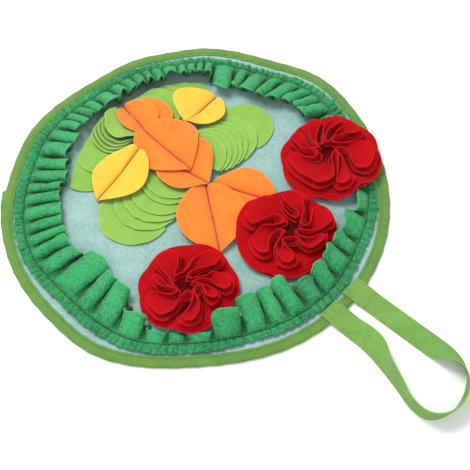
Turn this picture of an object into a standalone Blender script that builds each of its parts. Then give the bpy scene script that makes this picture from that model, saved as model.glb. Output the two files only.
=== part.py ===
"""Round snuffle mat of fleece and felt, lying flat, with a webbing carry loop.

Units are metres, +Z is up and the origin is the middle of the mat's underside. The carry loop leaves the
mat along +X. Angles are in degrees round the mat, counted from the loop, counter-clockwise seen from above.
"""

import math

import bmesh
import bpy
from mathutils import Vector
from mathutils.bvhtree import BVHTree

mm = 0.001

# Driving sizes, in millimetres.
matRadius = 225.0        # nominal radius over the binding
clothThick = 3.0         # the mat's cloth, all layers
clothPinch = 1.5         # the cloth where the binding holds it
tapeWide = 25.0          # webbing of binding and carry loop
tapeThick = 1.1
feltThick = 1.3
fleeceThick = 1.8
layerGap = 0.7           # air between two felt layers
restGap = 0.3            # air between pieces that touch

bindingWide = tapeWide / 2
clothLift = tapeThick + restGap                      # underside of the pinched edge
bindingTop = clothLift + clothPinch + restGap + tapeThick

# The bound edge isn't a true circle: angle, radius.
edgeRows = [
    (0, 229.5), (20, 227), (45, 222), (70, 221), (90, 225), (108, 217.5), (130, 222.5), (142, 220.5),
    (154, 222), (170, 218), (195, 225), (212, 222), (240, 224), (268, 223), (287, 228.5), (315, 221.5),
    (343, 228.5),
]
overlapAt = 220.5        # where the binding's end laps over its start
overlapStep = 3.5
overlapLong = 20.0       # degrees over which the lap runs out

# Where the ruffle is sewn down: angle, seam in from the bound edge, width of the header outside the seam.
seamRows = [
    (0, 27, 10), (18, 28, 8), (32, 25, 10), (60, 26, 10.5), (80, 27, 10.5), (100, 28, 8), (125, 28, 8),
    (150, 27, 10), (170, 26, 10.5), (200, 26, 11), (245, 26, 11), (262, 31, 11), (284, 32, 11), (297, 27, 11.5),
    (316, 26, 11), (332, 28, 8), (345, 28, 9),
]

# The ruffle, zone by zone: first angle, number of folds, reach of a fold's root, height of its crest, lean of
# the crest (outward is positive), width of the groove between folds, how far folds lean sideways, how far the
# grooves stand up with the crests, and how far the crests droop again at the free edge.
ruffleRows = [
    # first, folds, reach, height, lean, groove, skew, stand, droop
    (-9, 4, 26, 20, 2, 3.0, 0.25, 0.5, 0.0),
    (20, 1, 25, 11, 0, 4.0, 0.10, 0.0, 0.0),
    (31, 1, 13, 10, 4, 3.5, -0.10, 0.0, 0.0),
    (40, 5, 12, 2.0, 0, 6.0, 0.00, 0.0, 0.0),
    (76, 3, 38, 16, 4, 3.0, 0.50, 0.3, 0.1),
    (92, 2, 40, 15, 4, 3.0, 0.50, 0.3, 0.1),
    (104, 1, 38, 12, 3, 3.5, 0.40, 0.2, 0.1),
    (112, 1, 41, 15, 4, 4.5, 0.15, 0.3, 0.1),
    (118, 1, 43, 13, 2, 4.5, -0.15, 0.2, 0.3),
    (126, 4, 31, 19, 12, 2.6, -0.50, 0.5, 0.1),
    (140, 1, 29, 22, 14, 3.0, -0.30, 0.6, 0.1),
    (146, 5, 33, 19, 16, 2.6, -0.45, 0.4, 0.2),
    (167, 1, 40, 19, 12, 3.0, -0.30, 0.3, 0.1),
    (175, 4, 36, 16, 12, 3.0, -0.45, 0.6, 0.1),
    (192, 2, 41, 12, 4, 3.0, -0.10, 0.2, 0.2),
    (205, 9, 43, 9.5, 0, 3.0, 0.35, 0.0, 0.2),
    (256, 1, 52, 7, 0, 3.2, 0.20, 0.0, 0.0),
    (270, 1, 48, 9, 0, 3.2, 0.10, 0.0, 0.0),
    (279, 1, 51, 8, 0, 3.2, 0.05, 0.0, 0.0),
    (288, 1, 26, 9, 0, 3.2, 0.12, 0.0, 0.0),
    (297, 3, 12, 2.0, 0, 5.0, 0.00, 0.0, 0.0),
    (319, 1, 18, 26, -8, 4.0, 0.08, 0.5, 0.0),
    (330, 1, 38, 18, 0, 3.0, 0.30, 0.3, 0.0),
    (338, 2, 45, 13, -2, 3.2, 0.35, 0.3, 0.1),
]

# Felt leaves, in four fronds. Each row is a leaf's tip x, tip y, radius and length; the first lies lowest.
fronds = {
    "frond_a": (90, [
        (-19, 141, 36, 48), (-21, 114, 37, 45), (-22, 99, 36, 42), (-22, 91, 35, 42), (-23, 83, 34, 40),
        (-24, 75, 32, 38), (-25, 68, 30, 34),
    ]),
    "frond_b": (270, [
        (-31, -109, 43, 52), (-29, -85, 40, 45), (-28, -72, 39, 44), (-28, -60, 38, 42), (-29, -43, 35, 38),
        (-31, -36, 34, 36),
    ]),
    "frond_c": (90, [
        (-106, 124, 38, 46), (-114, 112, 37, 44), (-115, 97, 36, 40), (-117, 86, 35, 38), (-118, 70, 33, 34),
    ]),
    "frond_d": (262, [
        (-124, -90, 36, 60), (-129, -62, 36, 52), (-132, -31, 29, 36), (-132, -26, 29, 34), (-131, -21, 29, 32),
        (-130, -16, 29, 30), (-129, -11, 29, 28),
    ]),
}
# Leaves and petals stay inside this line, clear of the ruffle: angle, radius.
fieldRows = [(0, 148), (60, 150), (110, 158), (135, 164), (160, 160), (180, 156), (200, 150), (260, 142), (320, 148)]

# Petals with a pinched crease: colour, the crease's first end x and y, its pointed end x and y, width on its
# left and right, how far the wings rise from it. The first lies lowest.
petalRows = [
    ("orange", 82, 48, 8, 21, 36, 33, 2.5),
    ("orange", 5, 14, 81, -43, 39, 41, 4.0),
    ("orange", -142, 47, -76, 32, 26, 22, 2.5),
    ("orange", -152, 32, -90, 20, 29, 20, 4.5),
    ("orange", -64, 8, 9, 16, 43, 32, 4.5),
    ("orange", -106, 20, -19, 16, 43, 36, 5.0),
    ("yellow", -75, 119, -71, 60, 30, 40, 4.5),
    ("yellow", -84, -3, -75, -84, 37, 30, 4.5),
]

# Rosettes: centre x and y, radius of the backing circle, the gathers' middle off that centre, and the hairpin
# loops of the gathered circles.
rosetteRows = [
    (84, -97, 52, 5, -5, [
        # direction, half width, reach as a share of the radius
        (12, 12, 0.66), (48, 17, 0.86), (92, 13, 0.92), (168, 15, 0.94), (205, 12, 0.72), (256, 27, 0.84),
        (318, 15, 0.80),
    ]),
    (119, 20, 53, 4, 3, [
        (20, 15, 0.72), (64, 20, 0.86), (128, 16, 0.90), (188, 30, 0.94), (252, 22, 0.84), (302, 13, 0.80),
    ]),
    (95, 134, 55, -5, -4, [
        (28, 26, 0.94), (82, 12, 0.84), (116, 12, 0.86), (152, 14, 0.84), (187, 13, 0.80), (266, 46, 0.80),
        (335, 11, 0.88),
    ]),
]
# One hairpin loop: turn from its middle in half widths, and how far out between root and reach.
loopShape = [(-0.80, 0.28), (-1.06, 0.76), (-0.58, 1.0), (0.58, 1.0), (1.06, 0.76), (0.80, 0.28)]
loopRoot, bayFloor = 0.20, 0.007  # roots between loops, and how much a wide bay adds for each degree
loopNested = 2.1                  # how far a loop lies inside the one below it
# Gathered felt circles in a rosette: rim's line and share of the loops' depth, share of the loops' sideways
# turn, height of the rim and of the middle.
gatherRows = [
    ("outer", 0.93, 0.07, 0.0, 9, 1.8),
    ("middle", 0.60, 0.94, 1.0, 13.5, 4.0),
    ("inner", 0.52, 0.98, 1.0, 18, 6.0),
]

# Carry loop: x and y of the edge that stays down, its height, and how far the tape has turned up from flat.
loopRows = [
    # x, y, z, turn
    (214, 31, 5.4, 0), (227, 31, 5.4, 0), (237, 31.5, 3.4, 0), (250, 32, 0.95, 0), (300, 32, 0.95, 0),
    (322, 32, 0.95, 3), (342, 31, 0.95, 20), (359, 25, 0.95, 50), (371, 13, 0.95, 80), (379, -5, 0.95, 98),
    (381, -24, 0.95, 104), (375, -41, 0.95, 100), (364, -50, 0.95, 92), (347, -50, 0.95, 88),
    (325, -43, 0.95, 80),
    (300, -36, 0.95, 66), (275, -31, 0.95, 30), (250, -30, 0.95, 6), (237, -30, 3.4, 0), (227, -30, 5.4, 0),
    (214, -30, 5.4, 0),
]

colours = {
    "aqua": (0.36, 0.57, 0.50, 0.95),
    "webbing": (0.20, 0.42, 0.07, 0.75),
    "green": (0.055, 0.36, 0.13, 0.95),
    "leaf": (0.36, 0.63, 0.12, 0.92),
    "orange": (0.93, 0.27, 0.04, 0.92),
    "yellow": (0.93, 0.66, 0.09, 0.92),
    "red": (0.42, 0.003, 0.012, 0.92),
}


def clearScene():
    for obj in list(bpy.data.objects):
        bpy.data.objects.remove(obj, do_unlink=True)


def material(name):
    found = bpy.data.materials.get(name)
    if found:
        return found
    r, g, b, rough = colours[name]
    made = bpy.data.materials.new(name)
    made.use_nodes = True
    shader = made.node_tree.nodes["Principled BSDF"]
    shader.inputs["Base Color"].default_value = (r, g, b, 1)
    shader.inputs["Roughness"].default_value = rough
    shader.inputs["Metallic"].default_value = 0
    return made


def smooth(t):
    t = min(1.0, max(0.0, t))
    return t * t * (3 - 2 * t)


def roundTable(rows, angle):
    """Value of a table round the circle, on a smooth curve through its rows."""
    n = len(rows)
    angle %= 360
    i = max((k for k in range(n) if rows[k][0] <= angle), default=n - 1)

    def at(k):
        turn, k = divmod(k, n)
        return rows[k][0] + 360 * turn, rows[k][1]

    (a0, v0), (a1, v1), (a2, v2), (a3, v3) = at(i - 1), at(i), at(i + 1), at(i + 2)
    span = a2 - a1
    t = (angle - a1) % 360 / span
    m1, m2 = (v2 - v0) / (a2 - a0) * span, (v3 - v1) / (a3 - a1) * span
    return ((2 * t**3 - 3 * t**2 + 1) * v1 + (t**3 - 2 * t**2 + t) * m1
            + (3 * t**2 - 2 * t**3) * v2 + (t**3 - t**2) * m2)


def edgeRadius(angle):
    """Radius of the bound edge, in millimetres."""
    return roundTable(edgeRows, angle)


def seamRadius(angle):
    return edgeRadius(angle) - roundTable(seamRows, angle)


def headerWide(angle):
    return roundTable([(row[0], row[2]) for row in seamRows], angle)


def uneven(index, kind):
    """A fixed unevenness from -1 to 1 for each fold."""
    return 2 * (math.sin(12.9898 * index + 78.233 * kind) * 43758.5453 % 1) - 1


def chain(points, smoothBy=6):
    """Rows of numbers as a smooth curve through them, with smoothBy steps to a row."""
    out = []
    for i in range(len(points) - 1):
        p0, p1, p2 = points[max(i - 1, 0)], points[i], points[i + 1]
        p3 = points[min(i + 2, len(points) - 1)]
        for k in range(smoothBy):
            t = k / smoothBy
            out.append([
                0.5 * (2 * b + (c - a) * t + (2 * a - 5 * b + 4 * c - d) * t * t + (3 * b - a - 3 * c + d) * t**3)
                for a, b, c, d in zip(p0, p1, p2, p3)
            ])
    out.append(list(points[-1]))
    return out


def finishObject(name, bm, colour, thick=None):
    """A mesh object in metres from a bmesh in millimetres; thick gives a sheet its thickness."""
    bmesh.ops.scale(bm, vec=(mm, mm, mm), verts=bm.verts)
    mesh = bpy.data.meshes.new(name)
    bm.to_mesh(mesh)
    bm.free()
    mesh.shade_smooth()
    mesh.set_sharp_from_angle(angle=math.radians(40))
    obj = bpy.data.objects.new(name, mesh)
    obj.data.materials.append(material(colour))
    bpy.context.scene.collection.objects.link(obj)
    if thick:
        wall = obj.modifiers.new("cloth", "SOLIDIFY")
        wall.thickness = thick * mm
        wall.offset = 0
    return obj


def spun(profile, stations):
    """A bmesh turned from (radius, height) points; the ones on the axis become one point each."""
    bm = bmesh.new()
    verts = [bm.verts.new((r, 0, z)) for r, z in profile]
    edges = [bm.edges.new(pair) for pair in zip(verts, verts[1:])]
    bmesh.ops.spin(bm, geom=verts + edges, cent=(0, 0, 0), axis=(0, 0, 1), angle=math.tau, steps=stations,
                   use_merge=True)
    bmesh.ops.remove_doubles(bm, verts=bm.verts, dist=1e-4)
    return bm


def polar(co):
    return math.hypot(co.x, co.y), math.degrees(math.atan2(co.y, co.x)) % 360


def place(co, radius, angle, z):
    a = math.radians(angle)
    co.x, co.y, co.z = radius * math.cos(a), radius * math.sin(a), z


# ---------------------------------------------------------------- the mat and its binding

def bindingAngle(angle):
    """Moves the stations round the lap up to it, so that its step is sharp."""
    station = 5.0
    index = round(angle / station)
    return {43: 216.0, 44: overlapAt - 0.5, 45: overlapAt + 0.5, 46: 227.0}.get(index, index * station)


def baseCloth():
    rim = matRadius - tapeThick - 0.6
    step = matRadius - bindingWide - 0.4
    top = clothLift + clothPinch
    bm = spun([(0, 0), (step, 0), (step + 0.1, clothLift), (rim, clothLift), (rim, top), (step + 0.6, top),
               (step - 2.5, clothThick), (0, clothThick)], 72)
    for v in bm.verts:
        r, a = polar(v.co)
        if r > 1:
            a = bindingAngle(a)
            place(v.co, r - matRadius + edgeRadius(a), a, v.co.z)
    bmesh.ops.recalc_face_normals(bm, faces=bm.faces)
    return finishObject("base_cloth", bm, "aqua")


def lapOut(angle):
    past = (angle - overlapAt) % 360
    return overlapStep * (1 - past / overlapLong) if past < overlapLong else 0.0


def binding():
    t, low, high = tapeThick, 0.0, bindingTop
    inner = -bindingWide
    section = [(inner, low), (-1.2, low), (0, 1.2), (0, high - 1.2), (-1.2, high), (inner, high),
               (inner, high - t), (-t - 0.1, high - t), (-t - 0.1, t), (inner, t)]
    bm = bmesh.new()
    verts = [bm.verts.new((matRadius + r, 0, z)) for r, z in section]
    edges = [bm.edges.new((verts[i - 1], verts[i])) for i in range(len(verts))]
    bmesh.ops.spin(bm, geom=verts + edges, cent=(0, 0, 0), axis=(0, 0, 1), angle=math.tau, steps=72,
                   use_merge=True)
    bmesh.ops.remove_doubles(bm, verts=bm.verts, dist=1e-4)
    for v in bm.verts:
        r, a = polar(v.co)
        a = bindingAngle(a)
        outer = lapOut(a) if r > matRadius - 2 * t and 0 <= v.co.z <= high else 0.0
        wall = r - matRadius > -t
        place(v.co, r - matRadius + edgeRadius(a) + (outer if wall else 0), a, v.co.z)
    bmesh.ops.recalc_face_normals(bm, faces=bm.faces)
    return finishObject("binding", bm, "webbing")


# ---------------------------------------------------------------- the gathered ruffle

def foldList():
    """Every fold as [first angle, last angle, reach, height, lean, groove, skew], each a little uneven."""
    found = []
    for row, after in zip(ruffleRows, ruffleRows[1:] + [(ruffleRows[0][0] + 360,)]):
        first, count, shape = row[0], row[1], row[2:]
        width = (after[0] - first) / count
        found += [[first + i * width, first + (i + 1) * width, *shape] for i in range(count)]
    for i, fold in enumerate(found):
        fold[2] *= 1 + 0.05 * uneven(i, 1)
        fold[3] *= 1 + 0.15 * uneven(i, 2)
        fold[4] += 5 * uneven(i, 3) if fold[3] > 6 else 0
        fold[6] += 0.10 * uneven(i, 4)
        shift = 0.12 * uneven(i, 5) * (fold[1] - fold[0])
        if found[i - 1][1] == fold[0]:
            found[i - 1][1] = fold[0] = fold[0] + shift
    return found


folds = foldList()
# Across a fold: share of its width in grooves' half widths, share of its crest height.
foldStations = [(1.55, 0.0), (0.95, 0.5), (1.6, 0.92), (0, 1.12), (-1.6, 0.92), (-0.95, 0.5), (-1.55, 0.0)]
evenStations = [0.08, 0.18, 0.31, 0.50]   # the same stations where the strip is sewn down


def rufflePoint(fold, near, station, across):
    """Middle of the fleece at a station of a fold; across is 0 at the seam, 1 at the free edge and below 0 in
    the header. near is the fold on the station's side."""
    offset, crest = foldStations[station]
    own = min(1.0, 0.5 + 0.5 * crest)
    shape = [own * a + (1 - own) * b for a, b in zip(fold[2:], near[2:])]
    reach, height, lean, groove, skew, stand, droop = shape
    first, last = fold[0], fold[1]
    v = max(across, 0.0)
    grown = v**0.8
    arc = math.radians(last - first) * (seamRadius(first) - reach * v)
    tight = min(abs(offset) * groove / 2 / arc, 0.36) if offset else 0.5
    even = evenStations[min(station, len(foldStations) - 1 - station)]
    part = tight * grown + even * (1 - grown)
    along = part if offset >= 0 else 1 - part
    along += 0.3 * skew * grown * crest
    angle = first + (last - first) * along
    hang = 1 - (1 - 2 * v) ** 2 * (1.0 if v < 0.5 else 0.45)
    rise = (height * (grown * (1 - droop) + hang * droop) + 1.0) * crest
    tilt = math.radians(lean) * v
    lifted = stand * (1 - min(crest, 1.0))
    radius = seamRadius(angle) - reach * v * (1 - 0.55 * lifted) + rise * math.sin(tilt)
    z = clothThick + restGap + fleeceThick / 2 + 0.2 + 0.6 * v + rise * math.cos(tilt)
    z += 0.62 * lifted * height * grown
    if across < 0:
        radius -= across * headerWide(angle)
    return radius, angle, z


def ruffle():
    rows = [-1.0, 0.0, 0.5, 1.0]
    count, each = len(folds), len(foldStations)
    bm = spun([(10 + i, 0) for i in range(len(rows))], each * count)
    for v in bm.verts:
        r, a = polar(v.co)
        index = round(a / 360 * count * each) % (count * each)
        fold, station = divmod(index, each)
        near = folds[(fold + (-1 if station < each / 2 else 1)) % count]
        place(v.co, *rufflePoint(folds[fold], near, station, rows[round(r - 10)]))
    return finishObject("ruffle", bm, "green", fleeceThick)


# ---------------------------------------------------------------- felt lying on felt

pile = []                # what the next sheet can rest on: (tree, half thickness)
pokes = []               # and its corners, edge middles and face middles: (points, half thickness)
seatGap = 0.45           # air where a sheet touches the next


def samples(bm):
    points = [v.co.copy() for v in bm.verts]
    points += [e.verts[0].co.lerp(e.verts[1].co, t) for e in bm.edges for t in (0.25, 0.5, 0.75)]
    return points + [f.calc_center_median() for f in bm.faces]


def remember(bm, half):
    pile.append((BVHTree.FromBMesh(bm), half))
    pokes.append((samples(bm), half))


def airLeft(points, tree, drop):
    """Least air under a sheet once it has come down by drop."""
    down, least = Vector((0, 0, drop)), 9.0
    for p in points:
        least = min(least, p.z - drop - feltThick / 2 - clothThick + seatGap - restGap)
        for other, half in pile:
            near = other.find_nearest(p - down, 6.0)[3]
            if near is not None:
                least = min(least, near - half - feltThick / 2)
    for others, half in pokes:
        for p in others:
            near = tree.find_nearest(p + down, 6.0)[3]
            if near is not None:
                least = min(least, near - half - feltThick / 2)
    return least


def seat(bm):
    """Brings a whole sheet down, or up, until it all but touches what carries it."""
    points, tree = samples(bm), BVHTree.FromBMesh(bm)
    low, high = -9.0, 5.0
    for _ in range(9):
        middle = (low + high) / 2
        if airLeft(points, tree, middle) > seatGap:
            low = middle
        else:
            high = middle
    for v in bm.verts:
        v.co.z -= low


def support(x, y, over):
    """Lowest height for the middle of a felt sheet, over the highest thing within that distance."""
    ring = [(0, 0)] + [(over * math.cos(a), over * math.sin(a)) for a in (math.tau * k / 8 for k in range(8))]
    best = clothThick + restGap
    for dx, dy in ring:
        for tree, half in pile:
            hit = tree.ray_cast(Vector((x + dx, y + dy, 90)), Vector((0, 0, -1)))[0]
            if hit:
                best = max(best, hit.z + half + layerGap)
    return best + feltThick / 2


def evened(bm, floor, rounds):
    """Evens a sheet out without letting it sink below its floor."""
    for _ in range(rounds):
        level = {v: sum(e.other_vert(v).co.z for e in v.link_edges) / len(v.link_edges) for v in bm.verts}
        for v in bm.verts:
            v.co.z = max(floor[v], 0.5 * v.co.z + 0.5 * level[v])


def settle(bm, over=3.0, rounds=8):
    """Lifts a sheet onto what lies under it: floor heights first, then wherever something still pokes up."""
    floor = {v: support(v.co.x, v.co.y, over) for v in bm.verts}
    rise = {v: v.co.z for v in bm.verts}
    for v in bm.verts:
        v.co.z = floor[v]
    evened(bm, floor, rounds)
    for v in bm.verts:
        v.co.z += rise[v]
    for _ in range(10):
        if not clearBelow(bm):
            break
    seat(bm)


def clearBelow(bm):
    """Lifts a sheet off anything that still pokes up into it, and says whether it had to."""
    bm.faces.ensure_lookup_table()
    tree = BVHTree.FromBMesh(bm)
    lift = {}
    for points, half in pokes:
        need = half + layerGap + feltThick / 2
        for p in points:
            hit, _, index, _ = tree.ray_cast(Vector((p.x, p.y, 90)), Vector((0, 0, -1)))
            if hit and p.z + need - hit.z > 0.02:
                for v in bm.faces[index].verts:
                    lift[v] = max(lift.get(v, 0.0), p.z + need - hit.z)
    for v, high in lift.items():
        v.co.z += high
    return bool(lift)


def inField(cx, cy, dx, dy, reach):
    """How far a sheet may go from its middle along (dx, dy) before it leaves the field."""
    tip = math.degrees(math.atan2(cy + dy * reach, cx + dx * reach))
    dot = cx * dx + cy * dy
    return min(reach, -dot + math.sqrt(dot * dot - (cx * cx + cy * cy) + roundTable(fieldRows, tip) ** 2))


def leafSheet(tip, direction):
    """A round leaf with a straight sewn root, as a flat bmesh."""
    x, y, radius, length = tip
    a = math.radians(direction)
    ux, uy = math.cos(a), math.sin(a)
    cx, cy = x - radius * ux, y - radius * uy
    root = length - radius
    bm = spun([(0, 0), (0.55, 0), (1, 0)], 16)
    for v in bm.verts:
        r, angle = polar(v.co)
        dx, dy = math.cos(math.radians(angle)), math.sin(math.radians(angle))
        back = -(dx * ux + dy * uy)
        reach = min(radius, root / back) if back > 0.05 else radius
        reach = inField(cx, cy, dx, dy, reach)
        v.co = (cx + dx * reach * r, cy + dy * reach * r, 0)
    return bm


def frondLeaves():
    for name, (direction, tips) in fronds.items():
        for i, tip in enumerate(tips):
            bm = leafSheet(tip, direction)
            settle(bm)
            remember(bm, feltThick / 2)
            finishObject(f"{name}_leaf_{i + 1}", bm, "leaf", feltThick)


def petals():
    for i, (colour, x0, y0, x1, y1, left, right, wing) in enumerate(petalRows):
        cx, cy = (x0 + x1) / 2, (y0 + y1) / 2
        long = math.hypot(x1 - x0, y1 - y0)
        ux, uy = (x1 - x0) / long, (y1 - y0) / long
        bm = spun([(0, 0), (0.5, 0), (1, 0)], 20)
        for v in bm.verts:
            r, turn = polar(v.co)
            c, s = math.cos(math.radians(turn)), math.sin(math.radians(turn))
            side = (left if s > 0 else -right) * abs(s) ** (1.65 + 0.45 * c)
            along = long / 2 * c
            dx, dy = along * ux - side * uy, along * uy + side * ux
            far = math.hypot(dx, dy)
            reach = inField(cx, cy, dx / far, dy / far, far) / far
            cup = abs(side) / 35 * r
            v.co = (cx + dx * r * reach, cy + dy * r * reach, wing * cup * (1.6 - 0.6 * cup))
        settle(bm)
        remember(bm, feltThick / 2)
        finishObject(f"petal_{colour}_{i + 1}", bm, colour, feltThick)


# ---------------------------------------------------------------- rosettes

def backing(x, y, radius):
    bm = spun([(0, 0), (0.55, 0), (1, 0)], 24)
    for v in bm.verts:
        r, a = polar(v.co)
        a = math.radians(a)
        v.co = (x + radius * r * math.cos(a), y + radius * r * math.sin(a), 0)
    settle(bm, over=5.0, rounds=6)
    return bm


def rimCage(loops, inside):
    """The rim's corner points: angle, share of the radius, and the same corner's angle in the flat circle."""
    corners = []
    for k, (turn, wide, reach) in enumerate(loops):
        before = loops[k - 1][0] + loops[k - 1][1] - (360 if k == 0 else 0)
        bay = turn - wide - before
        corners.append(((before + turn - wide) / 2, loopRoot + bayFloor * max(bay - 6, 0)))
        for t, out in loopShape:
            share = loopRoot + out * (reach - loopRoot)
            corners.append((turn + t * wide - math.copysign(math.degrees(inside / share), t), share))
    flat = [(r * math.cos(math.radians(a)), r * math.sin(math.radians(a))) for a, r in corners]
    along = [0.0]
    for here, after in zip(flat, flat[1:] + flat[:1]):
        along.append(along[-1] + math.dist(here, after))
    even = [360 * d / along[-1] for d in along[:-1]]
    shift = sum(a - e for (a, _), e in zip(corners, even)) / len(corners)
    return [(a, r, e + shift) for (a, r), e in zip(corners, even)]


def gathered(rosette, row, ground):
    """A felt circle gathered at its middle, so that its rim stands up in a meander of hairpin loops."""
    x, y, radius, dx, dy, loops = rosette
    name, line, depth, follow, rimHigh, midHigh = row
    cage = rimCage(loops, loopNested / radius if name == "inner" else 0.0)
    x, y = x + dx * follow, y + dy * follow
    bm = spun([(0, 0), (0.5, 0), (1, 0)], len(cage))
    for v in bm.verts:
        s, a = polar(v.co)
        angle, share, even = cage[round(a / 360 * len(cage)) % len(cage)]
        grown = s**1.4
        rho = radius * s * (line + depth * grown * (share - 0.6))
        a = math.radians(even + (angle - even) * grown * follow)
        dome = 1 - 0.42 * (rho / radius) ** 2
        lift = midHigh + (rimHigh - midHigh) * s**1.6 * dome
        px, py = x + rho * math.cos(a), y + rho * math.sin(a)
        v.co = (px, py, ground(px, py) + lift)
    return bm


def rosettes():
    for i, rosette in enumerate(rosetteRows):
        x, y, radius = rosette[:3]
        bm = backing(x, y, radius)
        tree = BVHTree.FromBMesh(bm)
        remember(bm, feltThick / 2)
        finishObject(f"rosette_{i + 1}_backing", bm, "red", feltThick)

        def ground(px, py):
            dx, dy = px - x, py - y
            share = min(1.0, 0.96 * radius / max(math.hypot(dx, dy), 1.0))
            return tree.ray_cast(Vector((x + dx * share, y + dy * share, 90)), Vector((0, 0, -1)))[0].z

        for row in gatherRows:
            made = gathered(rosette, row, ground)
            seat(made)
            remember(made, feltThick / 2)
            finishObject(f"rosette_{i + 1}_{row[0]}", made, "red", feltThick)


# ---------------------------------------------------------------- carry loop

def carryLoop():
    rows = chain(loopRows, 3)
    bm = bmesh.new()
    bmesh.ops.create_grid(bm, x_segments=len(rows) - 1, y_segments=1, size=0.5)
    for v in bm.verts:
        i = round((v.co.x + 0.5) * (len(rows) - 1))
        x, y, z, turn = rows[i]
        back, ahead = rows[max(i - 1, 0)], rows[min(i + 1, len(rows) - 1)]
        along = Vector((ahead[0] - back[0], ahead[1] - back[1])).normalized()
        inward = Vector((along.y, -along.x))
        a = math.radians(turn)
        w = tapeWide if v.co.y > 0 else 0.0
        v.co = (x + inward.x * w * math.cos(a), y + inward.y * w * math.cos(a), z + w * math.sin(a))
    return finishObject("carry_loop", bm, "webbing", tapeThick)


clearScene()
baseCloth()
binding()
gatheredStrip = ruffle()
frondLeaves()
petals()
strip = bmesh.new()
strip.from_mesh(gatheredStrip.data)
bmesh.ops.scale(strip, vec=(1 / mm, 1 / mm, 1 / mm), verts=strip.verts)
# crests that stand higher than this hang over a rosette's edge, which lies on the lower folds
overhang = [f for f in strip.faces if min(v.co.z for v in f.verts) > 15]
bmesh.ops.delete(strip, geom=overhang, context="FACES")
remember(strip, fleeceThick / 2)
strip.free()
rosettes()
carryLoop()
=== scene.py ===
import math
import bmesh
import bpy
import numpy as np
from mathutils import Matrix, Vector, noise
from mathutils.bvhtree import BVHTree


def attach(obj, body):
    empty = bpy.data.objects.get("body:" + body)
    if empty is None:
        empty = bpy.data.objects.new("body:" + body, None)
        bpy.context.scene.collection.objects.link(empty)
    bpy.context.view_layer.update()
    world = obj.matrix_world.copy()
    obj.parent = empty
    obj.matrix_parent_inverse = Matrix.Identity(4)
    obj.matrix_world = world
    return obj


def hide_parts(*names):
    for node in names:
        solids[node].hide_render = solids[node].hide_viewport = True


# Round snuffle mat: a fleece ruffle round the edge, felt leaves, petals and rosettes, a webbing carry loop.
# Lengths are in millimetres until a piece is finished, angles in degrees from the loop, +Z up.
mm = 0.001
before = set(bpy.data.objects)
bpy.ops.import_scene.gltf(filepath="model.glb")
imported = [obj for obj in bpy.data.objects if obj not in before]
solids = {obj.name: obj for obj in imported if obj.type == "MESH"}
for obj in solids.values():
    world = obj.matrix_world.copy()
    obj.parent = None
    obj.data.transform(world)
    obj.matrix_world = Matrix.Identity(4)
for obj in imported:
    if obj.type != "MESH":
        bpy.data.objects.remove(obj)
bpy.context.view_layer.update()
print("frame loaded:", len(solids), "nodes")


# helpers for numbers and curves

def roundTable(rows, angle, column=1):
    # smooth curve through a table's rows round the circle
    n = len(rows)
    angle %= 360
    i = max((k for k in range(n) if rows[k][0] <= angle), default=n - 1)

    def at(k):
        turn, k = divmod(k, n)
        return rows[k][0] + 360 * turn, rows[k][column]

    (a0, v0), (a1, v1), (a2, v2), (a3, v3) = (at(i + k) for k in (-1, 0, 1, 2))
    span = a2 - a1
    t = (angle - a1) % 360 / span
    m1, m2 = (v2 - v0) / (a2 - a0) * span, (v3 - v1) / (a3 - a1) * span
    return ((2 * t**3 - 3 * t**2 + 1) * v1 + (t**3 - 2 * t**2 + t) * m1
            + (3 * t**2 - 2 * t**3) * v2 + (t**3 - t**2) * m2)


def smoothLine(points, finer, closed=False):
    # Catmull-Rom curve through rows of points, in that many steps from one to the next
    p = np.array(points, float)
    if closed:
        a, b, c, d = (np.roll(p, k, 0) for k in (1, 0, -1, -2))
    else:
        p = np.vstack([p[:1], p, p[-1:]])
        a, b, c, d = p[:-3], p[1:-2], p[2:-1], p[3:]
    line = []
    for t in (k / finer for k in range(finer)):
        line.append(0.5 * (2 * b + (c - a) * t + (2 * a - 5 * b + 4 * c - d) * t * t
                           + (3 * b - a - 3 * c + d) * t**3))
    line = np.stack(line, 1).reshape(-1, p.shape[1])
    return line if closed else np.vstack([line, p[-1:]])


def uneven(index, kind):
    # fixed unevenness from -1 to 1
    return 2 * (math.sin(12.9898 * index + 78.233 * kind) * 43758.5453 % 1) - 1


def smoothStep(t):
    t = min(1.0, max(0.0, t))
    return t * t * (3 - 2 * t)


def bell(distance, width):
    return math.exp(-((distance / width) ** 2))


def lump(x, y, z, size, seed=0.0):
    # soft noise about -1 to 1, with features of that size
    return 1.6 * noise.noise(Vector((x / size + seed, y / size - seed, z / size + 2 * seed)))


def polar(x, y):
    return math.hypot(x, y), math.degrees(math.atan2(y, x)) % 360


def ringPoint(radius, angle, z):
    a = math.radians(angle)
    return radius * math.cos(a), radius * math.sin(a), z


# helpers for meshes and objects

def spun(line, steps):
    # a line of (radius, height) points spun once round the Z axis
    bm = bmesh.new()
    verts = [bm.verts.new((r, 0, z)) for r, z in line]
    edges = [bm.edges.new(pair) for pair in zip(verts, verts[1:])]
    bmesh.ops.spin(bm, geom=verts + edges, cent=(0, 0, 0), axis=(0, 0, 1), angle=math.tau, steps=steps,
                   use_merge=True)
    bmesh.ops.remove_doubles(bm, verts=bm.verts, dist=1e-4)
    return bm


def flatDisc(rings, steps):
    # a flat round grid that faces up, with rings of those radii
    bm = spun([(r, 0) for r in rings], steps)
    bmesh.ops.recalc_face_normals(bm, faces=bm.faces)
    if sum(f.normal.z for f in bm.faces) < 0:
        bmesh.ops.reverse_faces(bm, faces=bm.faces)
    return bm


def flatArea(bm):
    return sum(f.calc_area() for f in bm.faces) * mm * mm


def flatBox(bm):
    xs, ys = [v.co.x for v in bm.verts], [v.co.y for v in bm.verts]
    return (max(xs) - min(xs)) * mm, (max(ys) - min(ys)) * mm


solidTrees = {}
rayFrom, nearFrom, hair = 120, 20, 0.02      # heights from which a top and a rim are looked for, a small step


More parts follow.
